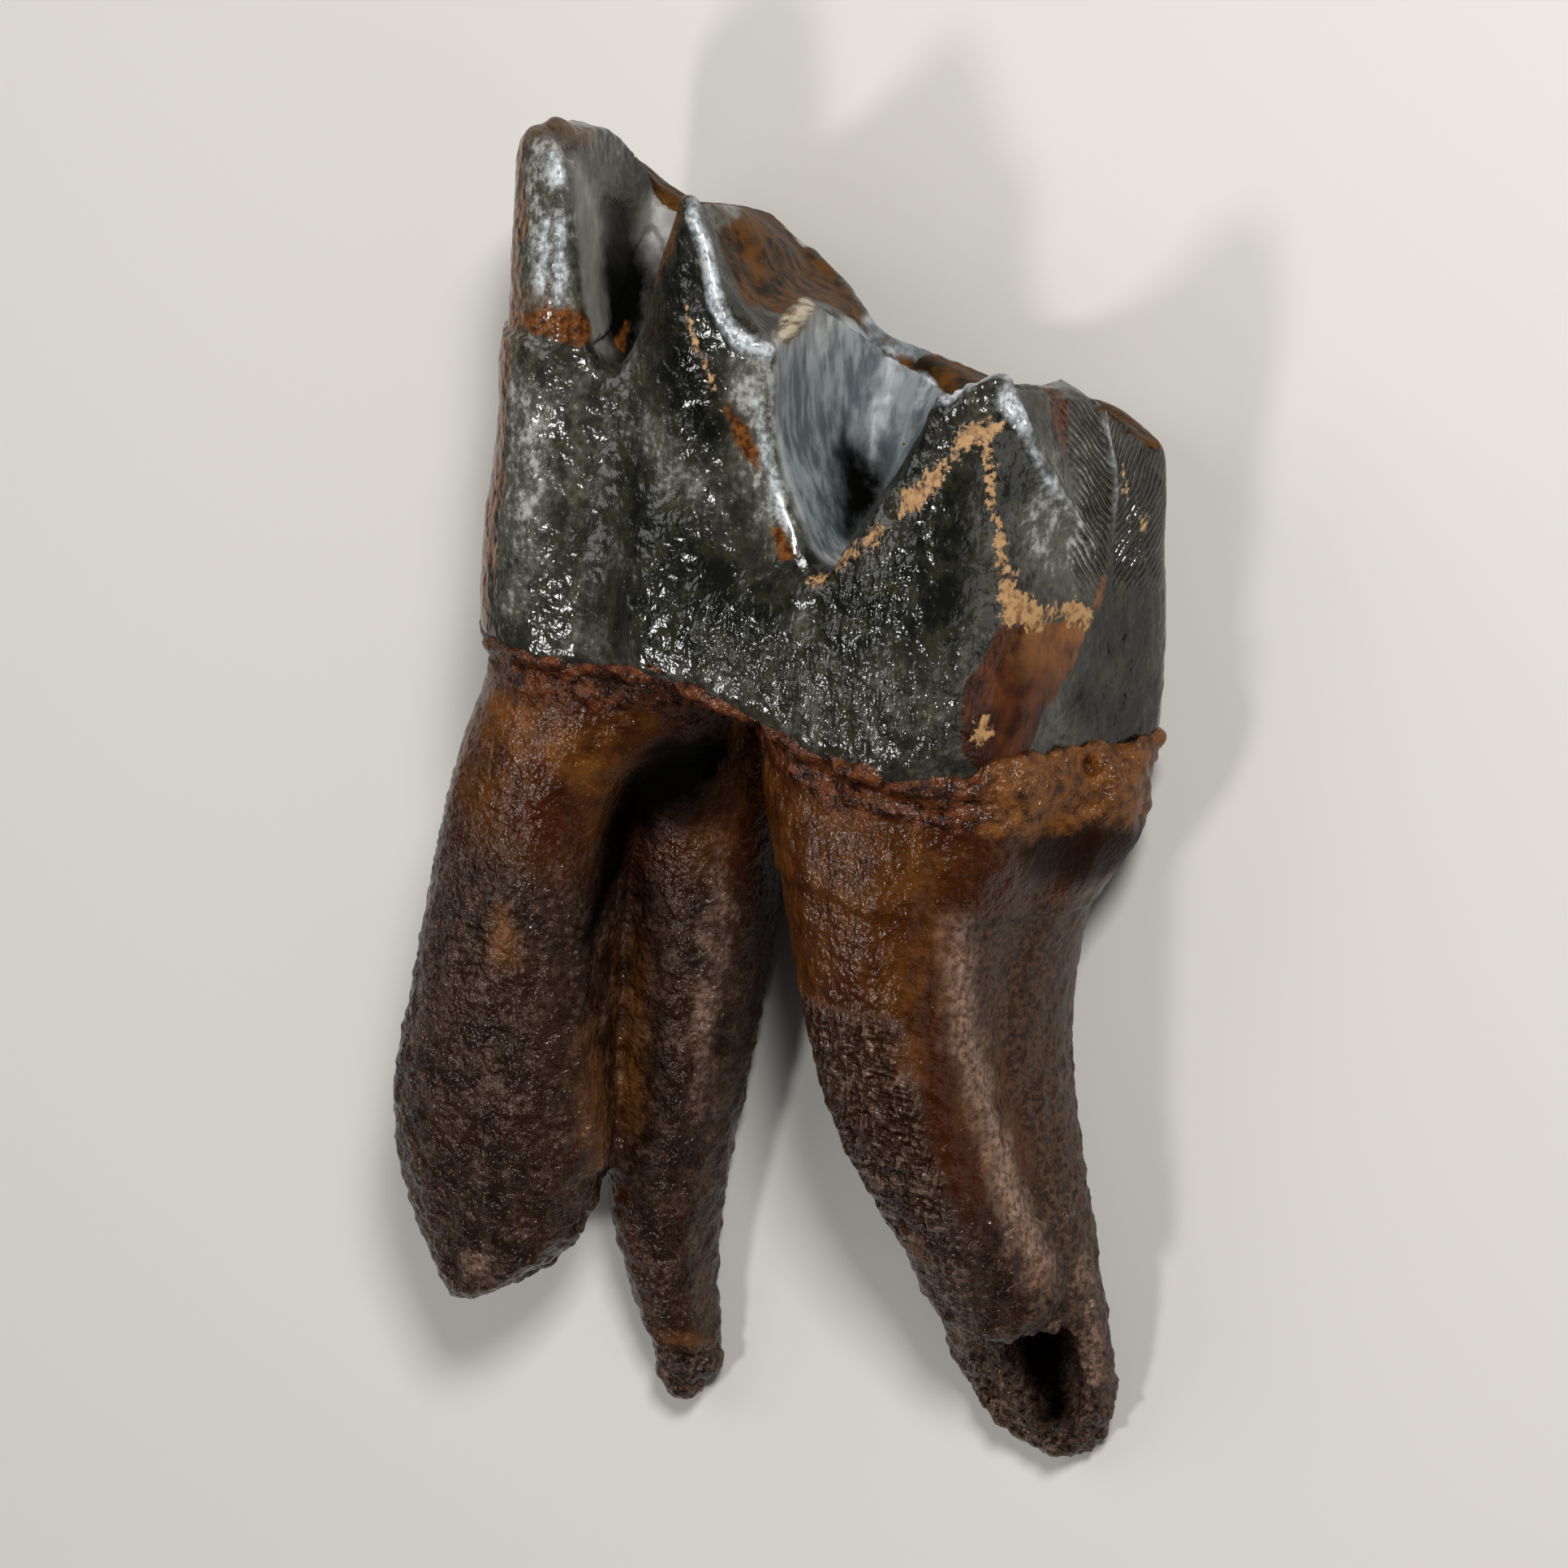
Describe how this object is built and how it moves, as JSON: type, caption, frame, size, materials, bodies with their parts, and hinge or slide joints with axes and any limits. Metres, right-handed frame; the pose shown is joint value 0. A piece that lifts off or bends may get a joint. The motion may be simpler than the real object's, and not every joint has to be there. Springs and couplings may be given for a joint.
{
  "type": "fossil woolly rhinoceros molar",
  "caption": "Lower cheek tooth of a woolly rhinoceros, a worn dark enamel crown with open valleys on long brown roots, lying on its cheek side.",
  "frame": {"origin": "on the floor, under the middle of the tooth's box", "axes": "+X towards the back of the jaw, +Y from the roots towards the chewing surface, +Z towards the tongue side, which is up as the tooth lies"},
  "size_m": [0.0642, 0.1104, 0.0276],
  "materials": {
    "enamel": "fossil enamel, dark grey-green, wrinkled and glossy, pale where worn",
    "dentine": "fossil root dentine and cement, amber to purple-brown, pitted, semi-gloss"
  },
  "bodies": {
    "root": {"trigonid": "enamel", "talonid": "enamel", "mesial_root": "dentine", "distal_root": "dentine"}
  },
  "joints": []
}
